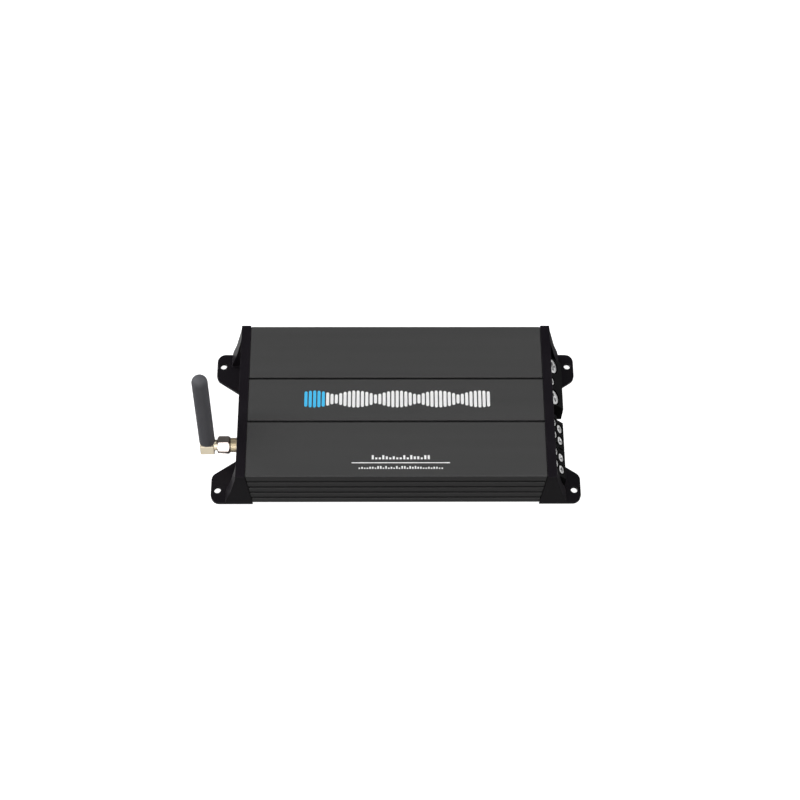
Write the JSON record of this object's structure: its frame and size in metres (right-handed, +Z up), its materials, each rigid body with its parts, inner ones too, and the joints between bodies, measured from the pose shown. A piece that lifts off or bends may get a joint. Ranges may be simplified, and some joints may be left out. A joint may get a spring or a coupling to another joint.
{
  "type": "car amplifier",
  "caption": "Compact finned car audio amplifier with mounting ears, screw terminals at one end and controls, phono sockets and a swivelling stub antenna at the other.",
  "frame": {"origin": "centre of the underside", "axes": "+X to the terminal end, +Y to the rear, +Z up from the underside"},
  "size_m": [0.2355, 0.1032, 0.0835],
  "materials": {
    "heatsink": "satin grey anodised, fine lengthwise grain",
    "bottom_plate": "satin black",
    "left_end_frame": "black, semi-gloss",
    "right_end_frame": "black, semi-gloss",
    "left_panel": "black",
    "right_panel": "black",
    "power_terminal_block": "black moulded",
    "speaker_block_front": "black moulded",
    "speaker_block_rear": "black moulded",
    "fuse_holder": "black moulded",
    "fuse": "translucent amber",
    "antenna_connector": "gold plated",
    "antenna_nut": "bright nickel",
    "antenna_elbow": "pale gold, satin",
    "antenna_sleeve": "grey, soft sheen",
    "power_led": "blue lens",
    "phono_block": "moulded",
    "main_board": "solder-masked board",
    "control_board": "solder-masked board",
    "wireless_board": "solder-masked board",
    "clamp_bar": "plain",
    "capacitor_1": "sleeved can",
    "capacitor_2": "sleeved can",
    "toroid_transformer": "enamelled copper",
    "inductor": "ferrite",
    "ground_screw": "bright nickel",
    "battery_screw": "bright nickel",
    "remote_screw": "bright nickel",
    "speaker_screw_1": "bright nickel",
    "speaker_screw_2": "bright nickel",
    "speaker_screw_3": "bright nickel",
    "speaker_screw_4": "bright nickel",
    "speaker_screw_5": "bright nickel",
    "speaker_screw_6": "bright nickel",
    "speaker_screw_7": "bright nickel",
    "speaker_screw_8": "bright nickel",
    "phono_shell_1": "gold plated",
    "transistor_1": "moulded",
    "frame_screw_1": "zinc plated",
    "plate_screw_1": "zinc plated",
    "phono_shell_2": "gold plated",
    "transistor_2": "moulded",
    "frame_screw_2": "zinc plated",
    "plate_screw_2": "zinc plated",
    "phono_shell_3": "gold plated",
    "transistor_3": "moulded",
    "frame_screw_3": "zinc plated",
    "plate_screw_3": "zinc plated",
    "phono_shell_4": "gold plated",
    "transistor_4": "moulded",
    "frame_screw_4": "zinc plated",
    "plate_screw_4": "zinc plated",
    "gain_knob_front": "black",
    "gain_knob_rear": "black",
    "low_pass_knob": "black",
    "high_pass_knob": "black",
    "bass_boost_knob": "black",
    "crossover_switch_front": "black",
    "crossover_switch_rear": "black"
  },
  "bodies": {
    "chassis": {"heatsink": "heatsink", "bottom_plate": "bottom_plate", "left_end_frame": "left_end_frame", "right_end_frame": "right_end_frame", "left_panel": "left_panel", "right_panel": "right_panel", "power_terminal_block": "power_terminal_block", "speaker_block_front": "speaker_block_front", "speaker_block_rear": "speaker_block_rear", "fuse_holder": "fuse_holder", "antenna_connector": "antenna_connector", "power_led": "power_led", "phono_block": "phono_block", "main_board": "main_board", "control_board": "control_board", "wireless_board": "wireless_board", "clamp_bar": "clamp_bar", "capacitor_1": "capacitor_1", "capacitor_2": "capacitor_2", "toroid_transformer": "toroid_transformer", "inductor": "inductor", "phono_shell_1": "phono_shell_1", "transistor_1": "transistor_1", "frame_screw_1": "frame_screw_1", "plate_screw_1": "plate_screw_1", "phono_shell_2": "phono_shell_2", "transistor_2": "transistor_2", "frame_screw_2": "frame_screw_2", "plate_screw_2": "plate_screw_2", "phono_shell_3": "phono_shell_3", "transistor_3": "transistor_3", "frame_screw_3": "frame_screw_3", "plate_screw_3": "plate_screw_3", "phono_shell_4": "phono_shell_4", "transistor_4": "transistor_4", "frame_screw_4": "frame_screw_4", "plate_screw_4": "plate_screw_4"},
    "antenna": {"antenna_elbow": "antenna_elbow", "antenna_sleeve": "antenna_sleeve"},
    "coupling_nut": {"antenna_nut": "antenna_nut"},
    "blade_fuse": {"fuse": "fuse"},
    "gain_knob_front_body": {"gain_knob_front": "gain_knob_front"},
    "gain_knob_rear_body": {"gain_knob_rear": "gain_knob_rear"},
    "low_pass_knob_body": {"low_pass_knob": "low_pass_knob"},
    "high_pass_knob_body": {"high_pass_knob": "high_pass_knob"},
    "bass_boost_knob_body": {"bass_boost_knob": "bass_boost_knob"},
    "crossover_switch_front_body": {"crossover_switch_front": "crossover_switch_front"},
    "crossover_switch_rear_body": {"crossover_switch_rear": "crossover_switch_rear"},
    "ground_screw_body": {"ground_screw": "ground_screw"},
    "battery_screw_body": {"battery_screw": "battery_screw"},
    "remote_screw_body": {"remote_screw": "remote_screw"},
    "speaker_screw_1_body": {"speaker_screw_1": "speaker_screw_1"},
    "speaker_screw_2_body": {"speaker_screw_2": "speaker_screw_2"},
    "speaker_screw_3_body": {"speaker_screw_3": "speaker_screw_3"},
    "speaker_screw_4_body": {"speaker_screw_4": "speaker_screw_4"},
    "speaker_screw_5_body": {"speaker_screw_5": "speaker_screw_5"},
    "speaker_screw_6_body": {"speaker_screw_6": "speaker_screw_6"},
    "speaker_screw_7_body": {"speaker_screw_7": "speaker_screw_7"},
    "speaker_screw_8_body": {"speaker_screw_8": "speaker_screw_8"}
  },
  "joints": [
    {"name": "antenna_swivel", "type": "hinge", "parent": "chassis", "child": "antenna", "pos_m": [-0.1064, -0.0226, 0.025], "axis": [1, 0, 0], "range_deg": [-73.5, 106.5]},
    {"name": "coupling_nut_turn", "type": "hinge", "parent": "chassis", "child": "coupling_nut", "pos_m": [-0.10565, -0.0226, 0.025], "axis": [-1, 0, 0], "continuous": true},
    {"name": "fuse_pull", "type": "slide", "parent": "chassis", "child": "blade_fuse", "axis": [1, 0, 0], "range_m": [0, 0.013]},
    {"name": "gain_knob_front_turn", "type": "hinge", "parent": "chassis", "child": "gain_knob_front_body", "pos_m": [-0.0849, -0.036, 0.0115], "axis": [-1, 0, 0], "range_deg": [-140, 140]},
    {"name": "gain_knob_rear_turn", "type": "hinge", "parent": "chassis", "child": "gain_knob_rear_body", "pos_m": [-0.0849, -0.024, 0.0115], "axis": [-1, 0, 0], "range_deg": [-140, 140]},
    {"name": "low_pass_knob_turn", "type": "hinge", "parent": "chassis", "child": "low_pass_knob_body", "pos_m": [-0.0849, -0.012, 0.0115], "axis": [-1, 0, 0], "range_deg": [-140, 140]},
    {"name": "high_pass_knob_turn", "type": "hinge", "parent": "chassis", "child": "high_pass_knob_body", "pos_m": [-0.0849, 0, 0.0115], "axis": [-1, 0, 0], "range_deg": [-140, 140]},
    {"name": "bass_boost_knob_turn", "type": "hinge", "parent": "chassis", "child": "bass_boost_knob_body", "pos_m": [-0.0849, 0.006, 0.025], "axis": [-1, 0, 0], "range_deg": [-140, 140]},
    {"name": "crossover_switch_front_slide", "type": "slide", "parent": "chassis", "child": "crossover_switch_front_body", "axis": [0, 1, 0], "range_m": [-0.0025, 0.0025]},
    {"name": "crossover_switch_rear_slide", "type": "slide", "parent": "chassis", "child": "crossover_switch_rear_body", "axis": [0, 1, 0], "range_m": [-0.0025, 0.0025]},
    {"name": "ground_screw_turn", "type": "hinge", "parent": "chassis", "child": "ground_screw_body", "pos_m": [0.09923, 0.0101, 0.025], "axis": [0.7606, 0, 0.6492], "range_deg": [0, 1080]},
    {"name": "battery_screw_turn", "type": "hinge", "parent": "chassis", "child": "battery_screw_body", "pos_m": [0.09923, 0.032, 0.025], "axis": [0.7606, 0, 0.6492], "range_deg": [0, 1080]},
    {"name": "remote_screw_turn", "type": "hinge", "parent": "chassis", "child": "remote_screw_body", "pos_m": [0.09803, 0.0208, 0.0264], "axis": [0.7606, 0, 0.6492], "range_deg": [0, 1080]},
    {"name": "speaker_screw_1_turn", "type": "hinge", "parent": "chassis", "child": "speaker_screw_1_body", "pos_m": [0.1019, -0.0374, 0.02095], "axis": [0.7629, 0, 0.6465], "range_deg": [0, 1080]},
    {"name": "speaker_screw_2_turn", "type": "hinge", "parent": "chassis", "child": "speaker_screw_2_body", "pos_m": [0.1019, -0.0294, 0.02095], "axis": [0.7629, 0, 0.6465], "range_deg": [0, 1080]},
    {"name": "speaker_screw_3_turn", "type": "hinge", "parent": "chassis", "child": "speaker_screw_3_body", "pos_m": [0.0973, -0.0374, 0.0313], "axis": [0.7657, 0, 0.6432], "range_deg": [0, 1080]},
    {"name": "speaker_screw_4_turn", "type": "hinge", "parent": "chassis", "child": "speaker_screw_4_body", "pos_m": [0.0973, -0.0294, 0.0313], "axis": [0.7657, 0, 0.6432], "range_deg": [0, 1080]},
    {"name": "speaker_screw_5_turn", "type": "hinge", "parent": "chassis", "child": "speaker_screw_5_body", "pos_m": [0.1019, -0.018, 0.02095], "axis": [0.7629, 0, 0.6465], "range_deg": [0, 1080]},
    {"name": "speaker_screw_6_turn", "type": "hinge", "parent": "chassis", "child": "speaker_screw_6_body", "pos_m": [0.1019, -0.01, 0.02095], "axis": [0.7629, 0, 0.6465], "range_deg": [0, 1080]},
    {"name": "speaker_screw_7_turn", "type": "hinge", "parent": "chassis", "child": "speaker_screw_7_body", "pos_m": [0.0973, -0.018, 0.0313], "axis": [0.7657, 0, 0.6432], "range_deg": [0, 1080]},
    {"name": "speaker_screw_8_turn", "type": "hinge", "parent": "chassis", "child": "speaker_screw_8_body", "pos_m": [0.0973, -0.01, 0.0313], "axis": [0.7657, 0, 0.6432], "range_deg": [0, 1080]}
  ]
}
